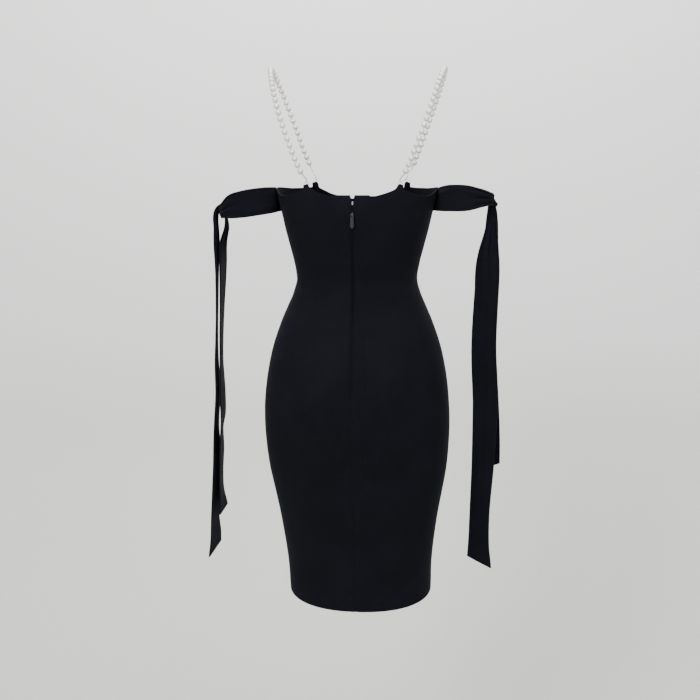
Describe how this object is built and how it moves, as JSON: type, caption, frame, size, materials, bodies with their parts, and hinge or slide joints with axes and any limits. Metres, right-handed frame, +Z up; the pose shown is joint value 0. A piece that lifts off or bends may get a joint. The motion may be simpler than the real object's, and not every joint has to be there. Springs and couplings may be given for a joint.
{
  "type": "bodycon dress",
  "caption": "Knee-length fitted knit dress with bead shoulder straps, knotted off-shoulder arm ties with hanging ends and a centre back zip.",
  "frame": {"origin": "midway between the shoulders, on the line where the two bead straps rest on them", "axes": "+Z up, -Y the way the wearer faces, +X the wearer's left"},
  "size_m": [0.5475, 0.2361, 0.971],
  "materials": {
    "knit": "matt doubled stretch knit, near black with a touch of navy",
    "zip_tape": "matt woven tape, black",
    "pearl": "pearl lustre, ivory white",
    "nickel": "bright nickel",
    "zip_metal": "dark nickel"
  },
  "bodies": {
    "dress": {"front_panel": "knit", "back_panel_left": "knit", "back_panel_right": "knit", "strap_loop_left_back": "knit", "strap_loop_left_front": "knit", "strap_loop_right_back": "knit", "strap_loop_right_front": "knit", "arm_band_left_back": "knit", "arm_band_left_front": "knit", "arm_band_right_back": "knit", "arm_band_right_front": "knit", "tie_knot_left": "knit", "tie_knot_right": "knit", "tie_left_long": "knit", "tie_left_short": "knit", "tie_right_long": "knit", "tie_right_short": "knit", "zip_tape_left": "zip_tape", "zip_tape_right": "zip_tape", "neck_stay_left": "zip_tape", "neck_stay_right": "zip_tape", "bead_strap_left": "pearl", "bead_strap_right": "pearl", "neck_hook": "nickel", "neck_eye": "nickel", "strap_ring_left_back": "nickel", "strap_ring_left_front": "nickel", "strap_ring_right_back": "nickel", "strap_ring_right_front": "nickel", "zip_slider": "zip_metal"},
    "pull_tab": {"zip_pull_tab": "zip_metal"}
  },
  "joints": [
    {"name": "pull_tab_hinge", "type": "hinge", "parent": "dress", "child": "pull_tab", "pos_m": [0, 0.09858, -0.2455], "axis": [1, 0, 0], "range_deg": [0, 150]}
  ]
}
